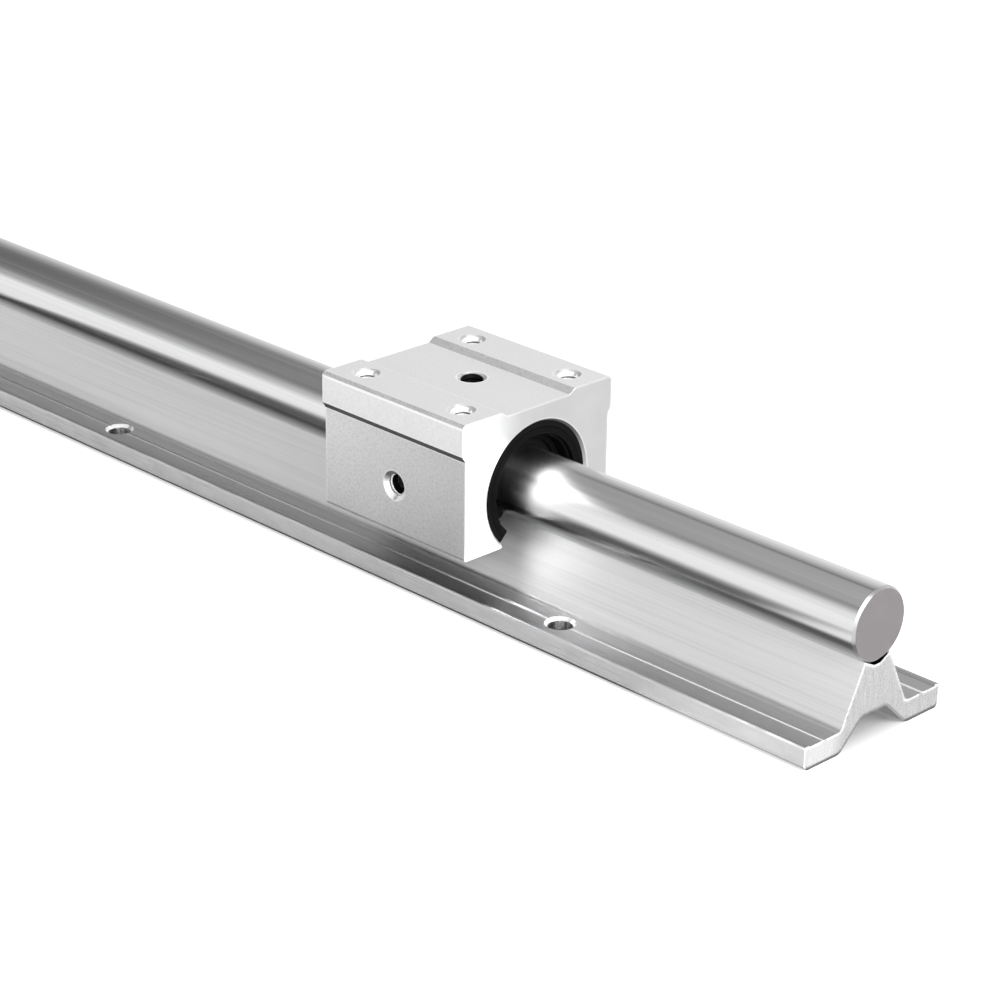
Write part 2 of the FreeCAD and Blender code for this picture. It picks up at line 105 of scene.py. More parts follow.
class StageSettings(bpy.types.PropertyGroup):
    camera_place: FloatVectorProperty(name="Camera Place", description="Where the camera stands",
                                      default=(0.481586, -0.434231, 0.279301), subtype="XYZ", unit="LENGTH")
    azimuth: FloatProperty(name="Azimuth", description="Camera's direction round the rail",
                           default=math.radians(45.237), subtype="ANGLE", unit="ROTATION")
    elevation: FloatProperty(name="Elevation", description="Camera's direction above the horizon",
                             default=math.radians(22.942), subtype="ANGLE", unit="ROTATION")
    roll: FloatProperty(name="Roll", description="Camera's turn about its own line of sight",
                        default=math.radians(0.895), subtype="ANGLE", unit="ROTATION")
    lens: FloatProperty(name="Lens", description="Focal length on a 36 mm sensor", default=109.93, min=1)
    room: FloatProperty(name="Room Light", description="Strength of the soft light from all round",
                        default=0.7, min=0)
    key: FloatProperty(name="Key Light", description="Power of the lamp that faces the near end",
                       default=9.0, min=0, subtype="POWER", unit="POWER")
    side: FloatProperty(name="Side Light", description="Power of the lamp on the viewer's side",
                        default=3.0, min=0, subtype="POWER", unit="POWER")
    front: FloatProperty(name="Front Light", description="Power of the lamp beside the camera", default=1.0,
                         min=0, subtype="POWER", unit="POWER")
    top: FloatProperty(name="Top Light", description="Power of the lamp above", default=5.0, min=0,
                       subtype="POWER", unit="POWER")


# How finishes are put together


def add(tree, kind, settings=None, sockets=None):
    """A shader node with its settings; each socket gets a value or is joined to another node's socket."""
    made = tree.nodes.new("ShaderNode" + kind)
    for name, value in (settings or {}).items():
        setattr(made, name, value)
    for name, value in (sockets or {}).items():
        if isinstance(value, bpy.types.NodeSocket):
            tree.links.new(value, made.inputs[name])
        else:
            made.inputs[name].default_value = value
    return made


def ramp(tree, factor, stops):
    """A scale of greys: each stop is its place and its grey."""
    made = add(tree, "ValToRGB", sockets={"Fac": factor})
    scale = made.color_ramp
    while len(scale.elements) > 1:
        scale.elements.remove(scale.elements[-1])
    for i, (place, grey) in enumerate(stops):
        stop = scale.elements[0] if i == 0 else scale.elements.new(place)
        stop.position = place
        stop.color = (grey, grey, grey, 1)
    return made.outputs["Color"]


def spread(tree, value, low, high, new_low, new_high):
    """A value brought from one span to another and held there."""
    made = add(tree, "MapRange", sockets={"Value": value, "From Min": low, "From Max": high,
                                          "To Min": new_low, "To Max": new_high})
    return made.outputs["Result"]


def reckon(tree, operation, *values):
    """One step of arithmetic."""
    return add(tree, "Math", {"operation": operation}, dict(enumerate(values))).outputs["Value"]


def product(tree, *values):
    """Values multiplied with each other."""
    made = values[0]
    for value in values[1:]:
        made = reckon(tree, "MULTIPLY", made, value)
    return made


def largest(tree, *values):
    """The largest of some values."""
    made = values[0]
    for value in values[1:]:
        made = reckon(tree, "MAXIMUM", made, value)
    return made


def unless(tree, value):
    """1 where a value is 0, and 0 where it is 1."""
    return reckon(tree, "SUBTRACT", 1.0, value)


def lowered(tree, value, *parts):
    """A value less a share of each of some others, which are given as pairs of value and share."""
    for part, share in parts:
        value = reckon(tree, "SUBTRACT", value, reckon(tree, "MULTIPLY", part, share))
    return value


def rising(tree, value, start, end, most=1.0):
    """0 up to the start of a span, and from there up to the most at its end."""
    return spread(tree, value, start, end, 0.0, most)


def falling(tree, value, start, end, most=1.0):
    """The most up to the start of a span, and from there down to 0 at its end."""
    return spread(tree, value, start, end, most, 0.0)


def mix_tone(tree, factor, first, second, blend="MIX"):
    """Two colours or greys mixed by a factor."""
    made = add(tree, "Mix", {"data_type": "RGBA", "blend_type": blend})
    for index, value in ((0, factor), (6, first), (7, second)):
        if isinstance(value, bpy.types.NodeSocket):
            tree.links.new(value, made.inputs[index])
        elif index == 0:
            made.inputs[index].default_value = value
        else:
            made.inputs[index].default_value = (*value, 1)
    return made.outputs[2]


def layered(tree, tone, *layers):
    """A tone with greys laid over it in order; each layer is a factor and a grey or a tone."""
    for factor, grey in layers:
        over = grey if isinstance(grey, bpy.types.NodeSocket) else (grey, grey, grey)
        tone = mix_tone(tree, factor, tone, over)
    return tone


def mix_value(tree, factor, first, second):
    """Two numbers mixed by a factor."""
    return add(tree, "Mix", {"data_type": "FLOAT"}, {0: factor, 2: first, 3: second}).outputs[0]


def place_on_piece(tree):
    """Where a point is on its own piece, in millimetres."""
    spot = add(tree, "TexCoord").outputs["Object"]
    return add(tree, "VectorMath", {"operation": "SCALE"}, {0: spot, "Scale": 1 / MM}).outputs["Vector"]


def split(tree, vector):
    """The three parts of a vector, by axis."""
    return add(tree, "SeparateXYZ", sockets={0: vector}).outputs


def from_shaft_axis(tree, parts):
    """How far a point is from the shaft's axis, in millimetres."""
    over = reckon(tree, "SUBTRACT", parts["Z"], SHAFT_HEIGHT / MM)
    squares = reckon(tree, "ADD", product(tree, parts["Y"], parts["Y"]), product(tree, over, over))
    return reckon(tree, "SQRT", squares)


def level_distance(tree, spot, place):
    """How far a point is from a place when both are seen from above."""
    flat = stretched(tree, spot, (1.0, 1.0, 0.0))
    measured = add(tree, "VectorMath", {"operation": "DISTANCE"}, {0: flat, 1: (*place, 0.0)})
    return measured.outputs["Value"]


def from_either(tree, value, middle):
    """A place along an axis, from the nearer of two like places on either side of 0."""
    return reckon(tree, "SUBTRACT", value, product(tree, reckon(tree, "SIGN", value), middle))


def stretched(tree, spot, stretch):
    """A place with each of its axes multiplied."""
    return add(tree, "VectorMath", {"operation": "MULTIPLY"}, {0: spot, 1: stretch}).outputs["Vector"]


def cloud(tree, spot, scale, detail=2.0, roughness=0.5):
    """Noise at a place; the scale is in waves per millimetre."""
    made = add(tree, "TexNoise", sockets={"Vector": spot, "Scale": scale, "Detail": detail,
                                          "Roughness": roughness})
    return made.outputs["Fac"]


def facing(tree, axis, start, end):
    """How squarely the surface faces along an axis, either way: 0 below start, 1 above end."""
    normal = split(tree, add(tree, "NewGeometry").outputs["Normal"])[axis]
    return rising(tree, reckon(tree, "ABSOLUTE", normal), start, end)


def slopes(tree):
    """1 on slopes that run along the rail, 1 on slopes that turn across it, and how far each faces up."""
    normal = split(tree, add(tree, "NewGeometry").outputs["Normal"])
    sizes = [reckon(tree, "ABSOLUTE", normal[axis]) for axis in ("X", "Y", "Z")]
    sloped = falling(tree, largest(tree, *sizes), 0.88, 0.95)
    along = product(tree, sloped, falling(tree, sizes[0], 0.05, 0.15))
    leaning = largest(tree, rising(tree, sizes[2], 0.2, 0.4), rising(tree, sizes[1], 0.2, 0.4))
    across = product(tree, reckon(tree, "SUBTRACT", sloped, along), leaning)
    return along, across, normal["Z"]


def band(tree, value, start, end, soft):
    """1 where a value lies between two others, with soft ends inside them."""
    return product(tree, rising(tree, value, start, start + soft), falling(tree, value, end - soft, end))


def near_edge(tree, width):
    """1 beside a sharp edge and 0 further away than the width in millimetres."""
    rounded = add(tree, "Bevel", {"samples": 4}, {"Radius": width * MM}).outputs["Normal"]
    flat = add(tree, "NewGeometry").outputs["Normal"]
    turned = add(tree, "VectorMath", {"operation": "DOT_PRODUCT"}, {0: rounded, 1: flat}).outputs["Value"]
    return rising(tree, turned, 0.995, 0.93)


def start_finish(name, colour, metallic, roughness):
    """A new finish and its surface shader, with the values that are the same all over it."""
    finish = bpy.data.materials.new(name)
    finish.use_nodes = True
    surface = finish.node_tree.nodes["Principled BSDF"]
    surface.inputs["Base Color"].default_value = (*colour, 1)
    surface.inputs["Metallic"].default_value = metallic
    surface.inputs["Roughness"].default_value = roughness
    return finish, finish.node_tree, surface


def relief(tree, surface, height, distance, strength=1.0, edge=0.0):
    """Fine relief on a surface, over edges that are broken by a small radius."""
    sockets = {"Height": height, "Distance": distance * MM, "Strength": strength}
    if edge:
        sockets["Normal"] = add(tree, "Bevel", {"samples": 4}, {"Radius": edge * MM}).outputs["Normal"]
    bump = add(tree, "Bump", sockets=sockets)
    tree.links.new(bump.outputs["Normal"], surface.inputs["Normal"])


def give_finish(names, finish):
    """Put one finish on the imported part's own pieces."""
    for name in names:
        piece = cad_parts[name]
        if not piece.material_slots:
            raise RuntimeError("%s has no place for a finish" % name)
        for place in piece.material_slots:
            place.material = finish


# The finishes

# Some of the tones below stand for light and shade that the photograph shows. They are part of the finish, so
# they stay where they are under any other light.

# How much the dark finishes and the threads shine
DULL_SHINE = 0.03

# Painted shade along the lower part of the shaft: angle round it from straight up in degrees, and what is
# left
LOWER_SHADE = [(97, 1.0), (103, 0.7), (107, 0.3), (115, 0.34), (123, 0.42), (135, 0.65), (140, 0.7)]

# Spans on the support's section in millimetres, out from its middle plane or up from the mounting plane
DRILL_LINE, DRILL_LINE_HEIGHT = (15.0, 15.9), (4.0, 5.2)
LIP_EDGE, LIP_EDGE_HEIGHT = (20.8, 21.15), (4.7, 5.5)
HOLE_MOUTHS, HOLE_WALLS = (11.4, 18.6), (11.9, 18.1)
NOTCH, NOTCH_FLOOR = (14.3, 15.7), (4.85, 4.95)
SEAT_REACH = (3.3, 3.6)
FLANGE_START = (10.8, 11.4)
WEB_END, ROOT_END, HOLLOW_END = (10.5, 11.0), (12.5, 12.8), (11.5, 12.0)
FOOT_TIP = (19.5, 19.8)

# The same on the sawn ends: where burrs and painted highlights stand, what stays dull and takes painted shade
# instead, the bottom edge that takes painted shade, the flange on the viewer's side that is painted lighter,
# and the slope that is less torn
BURR_AND_HIGHLIGHT_HEIGHT, BURR_AND_HIGHLIGHT_REACH = (3.6, 4.4), (20.2, 20.6)
UNDER_WEB, UNDER_WEB_HEIGHT = (8.3, 8.6), (7.5, 8.0)
FOOT_EDGE, LIT_NEAR_FLANGE = (0.4, 0.8), (-9.0, -13.0)
FAR_SLOPE, FAR_SLOPE_HEIGHT = (3.5, 4.5), (5.3, 5.8)

# Where the painted highlights on the drill line and the lips and the painted shade of upright faces grow
# stronger, in millimetres along the rail
LINE_GROWS, LIP_GROWS = (-110.0, 60.0), (120.0, 140.0)
FOOT_SHADE_GROWS, BLOCK_SHADE_GROWS = (100.0, 125.0), (15.0, 50.0)

# Heights on the block in millimetres, and the part of its near end that is painted lighter
BOTTOM_SHADE, FLANK_SHADE_UP_TO, BAND_START = (13.9, 14.3), (36.0, 38.0), (37.0, 38.0)
TOP_SIDE, TOP_CONES = (40.0, 41.0), (43.0, 43.5)
LIT_STRIP = (-5.0, -18.0)

# Places in millimetres, along and across: the corner holes from the block's middle, the glint from the
# middle of such a hole, and the dark of the grease hole from the block's middle. A reach is how far round.
CORNER_HOLES = (15.0, 16.0)
GLINT_PLACE, GLINT_REACH = (-0.31, 0.31), (2.15, 2.4)
DARK_PLACE, DARK_REACH = (0.02, 1.48), (2.45, 2.65)
GREASE_RIM = (3.2, 3.75)

# How a face points: squarely along an axis, up as a number from -1 to 1, or down
END_FACE, SIDE_FACE, LEVEL_FACE = (0.6, 0.9), (0.9, 0.97), (0.93, 0.98)
POINTS_DOWN = (-0.2, -0.4)


def support_highlights(tree, parts, aside, blotches):
    """Painted highlights on the line that locates the flange holes and on the edge of each flange's lip."""
    line = product(tree, band(tree, aside, *DRILL_LINE, 0.35),
                   band(tree, parts["Z"], *DRILL_LINE_HEIGHT, 0.1),
                   spread(tree, parts["X"], *LINE_GROWS, 0.2, 0.7))
    lip = product(tree, band(tree, aside, *LIP_EDGE, 0.1), band(tree, parts["Z"], *LIP_EDGE_HEIGHT, 0.15),
                  spread(tree, parts["X"], *LIP_GROWS, 0.25, 0.9),
                  spread(tree, blotches, 0.4, 0.6, 0.3, 1.0))
    return largest(tree, line, lip)


def sawn_edges(tree, parts, aside, sawn, grain):
    """The torn upper edges of a sawn end, painted bright as burrs and highlight, and its lower edges in
    painted shade.
    """
    edge = near_edge(tree, 1.3)
    under_web = product(tree, falling(tree, aside, *UNDER_WEB), falling(tree, parts["Z"], *UNDER_WEB_HEIGHT))
    high = largest(tree, rising(tree, parts["Z"], *BURR_AND_HIGHLIGHT_HEIGHT), rising(tree, aside, *BURR_AND_HIGHLIGHT_REACH))
    high = product(tree, high, unless(tree, under_web))
    notch = product(tree, band(tree, aside, *NOTCH, 0.1), falling(tree, parts["Z"], *NOTCH_FLOOR))
    far_slope = product(tree, rising(tree, parts["Y"], *FAR_SLOPE, 0.55),
                        rising(tree, parts["Z"], *FAR_SLOPE_HEIGHT))
    torn = product(tree, rising(tree, edge, 0.3, 0.95), spread(tree, grain, 0.35, 0.6, 0.2, 1.0),
                   unless(tree, far_slope))
    burr_and_highlight = product(tree, sawn, high, unless(tree, notch), torn)
    shaded_low_edge = product(tree, sawn, unless(tree, high), rising(tree, edge, 0.03, 0.5))
    foot_shade = product(tree, sawn, falling(tree, parts["Z"], *FOOT_EDGE))
    return burr_and_highlight, largest(tree, shaded_low_edge, foot_shade)


def support_finish(colours):
    """Extruded aluminium: lengthwise streaks and sawn ends with a torn edge, with painted highlights on the
    drill line, the lips, the hole mouths and the sawn ends' upper edges, and painted shade in places.
    """
    finish, tree, surface = start_finish("extruded_aluminium", colours.support, 1.0, 0.3)
    spot = place_on_piece(tree)
    fine = cloud(tree, stretched(tree, spot, (0.02, 2.2, 2.2)), 1.0, 3.0, 0.6)
    broad = cloud(tree, stretched(tree, spot, (0.006, 0.45, 0.45)), 1.0, 2.0)
    grain = cloud(tree, spot, 2.4, 3.0, 0.7)
    saw_marks = cloud(tree, stretched(tree, spot, (1.0, 2.4, 0.25)), 1.0, 3.0, 0.7)
    blotches = cloud(tree, stretched(tree, spot, (0.12, 0.3, 0.3)), 1.0, 4.0, 0.6)
    streaks = reckon(tree, "ADD", product(tree, fine, 0.6), product(tree, broad, 0.4))
    torn = reckon(tree, "ADD", product(tree, grain, 0.6), product(tree, saw_marks, 0.4))

    parts = split(tree, spot)
    aside = reckon(tree, "ABSOLUTE", parts["Y"])
    from_middle = reckon(tree, "ABSOLUTE", parts["X"])
    at_end = rising(tree, from_middle, RAIL_END / MM - 0.3, RAIL_END / MM - 0.1)
    sawn = product(tree, facing(tree, "X", *END_FACE), at_end)
    upright = facing(tree, "Y", 0.96, 0.99)
    slope, cone, upward = slopes(tree)

    # Painted highlights: on the drill line and the lips, and on the countersinks at the mouths of the flange
    # holes
    line_and_lip_highlights = product(tree, support_highlights(tree, parts, aside, blotches), unless(tree, sawn))
    mouths = product(tree, cone, band(tree, aside, *HOLE_MOUTHS, 0.1))
    bright = largest(tree, line_and_lip_highlights, product(tree, mouths, 0.8))
    # Painted shade on the walls of the flange holes
    shaded_walls = product(tree, band(tree, aside, *HOLE_WALLS, 0.1),
                    falling(tree, reckon(tree, "ABSOLUTE", upward), 0.1, 0.3), unless(tree, at_end))
    wall_shade_tone = ramp(tree, grain, [(0.35, 0.15), (0.65, 0.55)])
    # Painted shade on the downward bevel along the outer edge of each flange
    shaded_tip = product(tree, slope, rising(tree, upward, *POINTS_DOWN), rising(tree, aside, *FOOT_TIP))
    root = product(tree, slope, falling(tree, aside, *ROOT_END))
    web = product(tree, facing(tree, "Y", 0.6, 0.85), falling(tree, aside, *WEB_END))
    # Painted shade along the seat where the shaft lies on the support
    seam = SHAFT_RADIUS / MM + 1.0
    contact_shade = product(tree, falling(tree, from_shaft_axis(tree, parts), seam, seam + 0.2),
                      falling(tree, aside, *SEAT_REACH), unless(tree, sawn))
    # Painted shade on the downward faces under the support's arch
    hollow_shade = product(tree, falling(tree, aside, *HOLLOW_END), rising(tree, upward, -0.05, -0.2))
    # Painted highlights and burrs on the sawn ends' upper edges, and painted shade on their lower edges
    burr_and_highlight, shaded_edge = sawn_edges(tree, parts, aside, sawn, grain)
    # Painted light: the flange on the viewer's side of each sawn end is lighter
    lit_near_flange = product(tree, rising(tree, parts["Y"], *LIT_NEAR_FLANGE, 0.3), sawn)
    # Painted shade on the top of each flange
    shaded_flange_top = product(tree, rising(tree, upward, 0.9, 0.98), rising(tree, aside, *FLANGE_START, 0.25))
    blotched = product(tree, upright, rising(tree, blotches, 0.35, 0.65, 0.22))
    # Painted shade on upright faces, darker towards the near end
    shade_to_near_end = product(tree, upright, spread(tree, parts["X"], *FOOT_SHADE_GROWS, 0.1, 0.3))

    length_tone = ramp(tree, streaks, [(0.3, 0.84), (0.5, 0.95), (0.7, 1.0)])
    sawn_tone = ramp(tree, torn, [(0.3, 0.26), (0.5, 0.44), (0.65, 0.56)])
    tone = layered(tree, length_tone, (sawn, sawn_tone), (lit_near_flange, 1.0))
    tone = mix_tone(tree, 1.0, tuple(colours.support), tone, "MULTIPLY")
    tone = layered(tree, tone, (shaded_flange_top, 0.0), (blotched, 0.3), (shade_to_near_end, 0.1),
                   (largest(tree, burr_and_highlight, bright), 1.0), (product(tree, shaded_edge, 0.9), 0.06), (shaded_tip, 0.3),
                   (shaded_walls, wall_shade_tone), (hollow_shade, 0.2), (contact_shade, 0.01))
    tree.links.new(tone, surface.inputs["Base Color"])
    bare = lowered(tree, mix_value(tree, upright, 1.0, 0.6), (bright, 0.55), (web, 0.18))
    tree.links.new(mix_value(tree, sawn, bare, 0.45), surface.inputs["Metallic"])

    root_polish = mix_value(tree, facing(tree, "Y", 0.8, 0.86), 0.54, 0.6)
    polish = mix_value(tree, root, spread(tree, fine, 0.3, 0.7, 0.26, 0.34), root_polish)
    polish = mix_value(tree, rising(tree, line_and_lip_highlights, 0.0, 0.15), polish, 0.65)
    tree.links.new(mix_value(tree, sawn, polish, 0.6), surface.inputs["Roughness"])
    surface.inputs["Anisotropic"].default_value = 0.6
    surface.inputs["Anisotropic Rotation"].default_value = 0.25
    tree.links.new(add(tree, "CombineXYZ", sockets={"X": 1.0}).outputs[0], surface.inputs["Tangent"])
    height = mix_value(tree, sawn, streaks, product(tree, torn, 3.0))
    relief(tree, surface, height, 0.02, 0.5, edge=0.2)
    return finish


def corner_glints(tree, parts, cone):
    """The bright side of each corner hole's countersink."""
    along = from_either(tree, reckon(tree, "SUBTRACT", parts["X"], BLOCK_MIDDLE / MM), CORNER_HOLES[0])
    across = from_either(tree, parts["Y"], CORNER_HOLES[1])
    from_corner = add(tree, "CombineXYZ", sockets={"X": along, "Y": across}).outputs[0]
    within = falling(tree, level_distance(tree, from_corner, GLINT_PLACE), *GLINT_REACH)
    return product(tree, cone, within, rising(tree, parts["Z"], *TOP_CONES))


def block_finish(colours):
    """Fine-blasted aluminium, with a speckle of about a third of a millimetre, bright edges that are partly
    wear and partly painted highlight, and painted light and shade in places.
    """
    finish, tree, surface = start_finish("blasted_aluminium", colours.block, 0.8, 0.42)
    spot = place_on_piece(tree)
    parts = split(tree, spot)
    speckle = cloud(tree, spot, 1.8, 4.0, 0.75)
    patches = cloud(tree, spot, 0.12, 2.0)
    slope, cone, upward = slopes(tree)
    milled = facing(tree, "X", *END_FACE)
    level = facing(tree, "Z", *LEVEL_FACE)
    flank = facing(tree, "Y", *SIDE_FACE)
    top, middle = BLOCK_TOP / MM, BLOCK_MIDDLE / MM

    # Painted light: the upper band of each flank is lighter
    lit_top_band = product(tree, rising(tree, parts["Z"], *BAND_START, 0.55), flank)
    # Painted shade on the lower flanks, darker towards the near end
    shade_to_near_end = product(tree, falling(tree, parts["Z"], *FLANK_SHADE_UP_TO),
                      spread(tree, parts["X"], *BLOCK_SHADE_GROWS, 0.1, 0.3))
    tone = ramp(tree, speckle, [(0.33, 0.76), (0.5, 0.93), (0.64, 1.0)])
    milled_tone = ramp(tree, patches, [(0.3, 0.78), (0.7, 0.83)])
    # Among these layers is painted shade along the bottom edge of the flanks
    tone = layered(tree, tone, (product(tree, level, 0.6), 1.0), (lit_top_band, 0.95), (shade_to_near_end, 0.1),
                   (falling(tree, parts["Z"], *BOTTOM_SHADE), 0.1), (milled, milled_tone))
    tone = mix_tone(tree, 1.0, tuple(colours.block), tone, "MULTIPLY")

    # Painted highlights: on the edges, partly edge wear, round the grease hole's mouth, under the top edge of
    # the flanks and on a strip of the near end
    edges = product(tree, near_edge(tree, 0.8), unless(tree, slope))
    bevel_highlight = product(tree, flank, band(tree, parts["Z"], top - 1.4, top - 0.6, 0.2), 0.7)
    from_grease = level_distance(tree, spot, (middle + GREASE_OFFSET[0], GREASE_OFFSET[1]))
    rim_highlight = product(tree, level, band(tree, from_grease, *GREASE_RIM, 0.15))
    lit_strip = product(tree, milled, rising(tree, parts["Y"], *LIT_STRIP))
    wear_and_highlights = largest(tree, edges, rim_highlight, bevel_highlight, lit_strip)
    shaded_cone = product(tree, cone, rising(tree, upward, -0.1, -0.45))
    on_top = product(tree, cone, rising(tree, parts["Z"], *TOP_SIDE, 0.35))
    lit_cone = product(tree, cone, falling(tree, parts["Z"], *TOP_SIDE, 0.5), rising(tree, upward, -0.1, 0.1))
    glint = corner_glints(tree, parts, cone)
    # The mouth of the grease hole is painted near-black
    from_grease_hole_dark = level_distance(tree, spot, (middle + DARK_PLACE[0], DARK_PLACE[1]))
    grease_hole_dark = product(tree, falling(tree, from_grease_hole_dark, *DARK_REACH), rising(tree, parts["Z"], *TOP_SIDE))
    # Painted shade on the faces that point down
    under = product(tree, slope, rising(tree, upward, *POINTS_DOWN))
    tone = layered(tree, tone, (wear_and_highlights, 1.0), (shaded_cone, 0.2), (on_top, 0.5), (glint, 1.0), (lit_cone, 1.0),
                   (grease_hole_dark, 0.005), (under, 0.24))
    tree.links.new(tone, surface.inputs["Base Color"])
    blasted = spread(tree, patches, 0.3, 0.7, 0.4, 0.48)
    tree.links.new(mix_value(tree, milled, blasted, 0.36), surface.inputs["Roughness"])
    bare = mix_value(tree, largest(tree, milled, slope), mix_value(tree, level, 0.76, 0.72), 1.0)
    lit_slope = product(tree, slope, rising(tree, upward, 0.2, 0.4))
    bare = lowered(tree, bare, (lit_slope, 0.17), (lit_strip, 0.3), (glint, 0.3), (lit_cone, 0.4))
    tree.links.new(bare, surface.inputs["Metallic"])
    height = mix_value(tree, milled, speckle, product(tree, speckle, 0.2))
    relief(tree, surface, height, 0.03, 0.6, edge=0.2)
    return finish


def shaft_finish(colours):
    """Hard chrome, ground round the shaft so that it blurs reflections along it, with duller cut faces and
    painted shade along its lower part.
    """
    finish, tree, surface = start_finish("hard_chrome", colours.shaft, 1.0, 0.2)
    spot = place_on_piece(tree)
    lines = cloud(tree, stretched(tree, spot, (0.004, 1.6, 1.6)), 1.0, 3.0, 0.6)
    cut, bevelled = facing(tree, "X", 0.9, 0.97), facing(tree, "X", 0.4, 0.6)
    parts = split(tree, spot)
    over_axis = reckon(tree, "SUBTRACT", parts["Z"], SHAFT_HEIGHT / MM)
    round_turn = reckon(tree, "ARCTAN2", reckon(tree, "ABSOLUTE", parts["Y"]), over_axis)
    tone = ramp(tree, lines, [(0.3, 0.93), (0.6, 1.0)])
    shade = ramp(tree, reckon(tree, "DIVIDE", round_turn, math.pi), [(a / 180, g) for a, g in LOWER_SHADE])
    tone = mix_tone(tree, 1.0, tone, shade, "MULTIPLY")
    polished = mix_tone(tree, 1.0, tuple(colours.shaft), tone, "MULTIPLY")
    tree.links.new(mix_tone(tree, cut, polished, tuple(colours.shaft_end)), surface.inputs["Base Color"])
    tree.links.new(mix_value(tree, bevelled, spread(tree, lines, 0.3, 0.7, 0.17, 0.21), 0.5),
                   surface.inputs["Roughness"])
    surface.inputs["Anisotropic"].default_value = 0.95
    tree.links.new(add(tree, "CombineXYZ", sockets={"X": 1.0}).outputs[0], surface.inputs["Tangent"])
    relief(tree, surface, lines, 0.004, 0.4)
    return finish


def dark_finish(name, colour, metallic, roughness, scale, edge):
    """Black oxide, rubber or moulded plastic: an even dark finish with a fine grain."""
    finish, tree, surface = start_finish(name, colour, metallic, roughness)
    surface.inputs["Specular IOR Level"].default_value = DULL_SHINE
    spot = place_on_piece(tree)
    grain = cloud(tree, spot, scale, 3.0)
    tone = ramp(tree, grain, [(0.3, 0.7), (0.7, 1.0)])
    tree.links.new(mix_tone(tree, 1.0, tuple(colour), tone, "MULTIPLY"), surface.inputs["Base Color"])
    polish = spread(tree, grain, 0.3, 0.7, roughness - 0.06, roughness + 0.08)
    tree.links.new(polish, surface.inputs["Roughness"])
    relief(tree, surface, grain, 0.01, 0.5, edge=edge)
    return finish


def ring_finish(colours):
    """Phosphated spring steel with fine turned lines."""
    finish, tree, surface = start_finish("phosphated_steel", colours.rubber, 0.0, 0.5)
    surface.inputs["Specular IOR Level"].default_value = DULL_SHINE
    from_axis = from_shaft_axis(tree, split(tree, place_on_piece(tree)))
    turned = cloud(tree, add(tree, "CombineXYZ", sockets={"X": from_axis}).outputs[0], 2.2, 2.0)
    tone = mix_tone(tree, rising(tree, turned, 0.45, 0.62), (0.1, 0.1, 0.1), (1.6, 1.6, 1.6))
    tree.links.new(mix_tone(tree, 1.0, tuple(colours.rubber), tone, "MULTIPLY"), surface.inputs["Base Color"])
    relief(tree, surface, turned, 0.01, 0.5, edge=0.12)
    return finish


def steel_finish(colours):
    """Ground bearing steel with lines round the ring."""
    finish, tree, surface = start_finish("ground_steel", colours.steel, 1.0, 0.25)
    spot = place_on_piece(tree)
    lines = cloud(tree, stretched(tree, spot, (3.0, 0.1, 0.1)), 1.0, 2.0)
    tone = ramp(tree, lines, [(0.3, 0.85), (0.7, 1.0)])
    tree.links.new(mix_tone(tree, 1.0, tuple(colours.steel), tone, "MULTIPLY"), surface.inputs["Base Color"])
    tree.links.new(spread(tree, lines, 0.3, 0.7, 0.2, 0.32), surface.inputs["Roughness"])
    return finish


def thread_finish(name, colour, metallic, roughness):
    """The wall of a tapped hole: bright crests, and painted shade in the roots."""
    finish, tree, surface = start_finish(name, colour, metallic, roughness)
    surface.inputs["Specular IOR Level"].default_value = DULL_SHINE
    grain = cloud(tree, place_on_piece(tree), 3.0, 2.0)
    crest = add(tree, "Attribute", {"attribute_name": "crest"}).outputs["Fac"]
    tone = ramp(tree, grain, [(0.3, 0.85), (0.7, 1.0)])
    tone = mix_tone(tree, rising(tree, crest, 0.15, 0.5), (0.15, 0.15, 0.15), tone)
    tree.links.new(mix_tone(tree, 1.0, tuple(colour), tone, "MULTIPLY"), surface.inputs["Base Color"])
    polish = spread(tree, grain, 0.3, 0.7, roughness - 0.05, roughness + 0.05)
    tree.links.new(polish, surface.inputs["Roughness"])
    return finish


# Small pieces that stay with the looks

THREAD_SIDES = 48
THREAD_STEPS = 8

# A thread's blunt root and crest take up this much of its slope, and it stands this far off the hole's wall
BLUNT, THREAD_GAP = 0.12, 0.01 * MM

# How deep under the block's faces the threads start, and how long they are
TOP_START, TOP_LENGTH = 0.95 * MM, 11 * MM
GREASE_START, GREASE_LENGTH = 1.9 * MM, 2.7 * MM
SIDE_START = 0.8 * MM

# How far the block's flank with the side hole stands in from its widest part
SIDE_STEP = 0.9 * MM


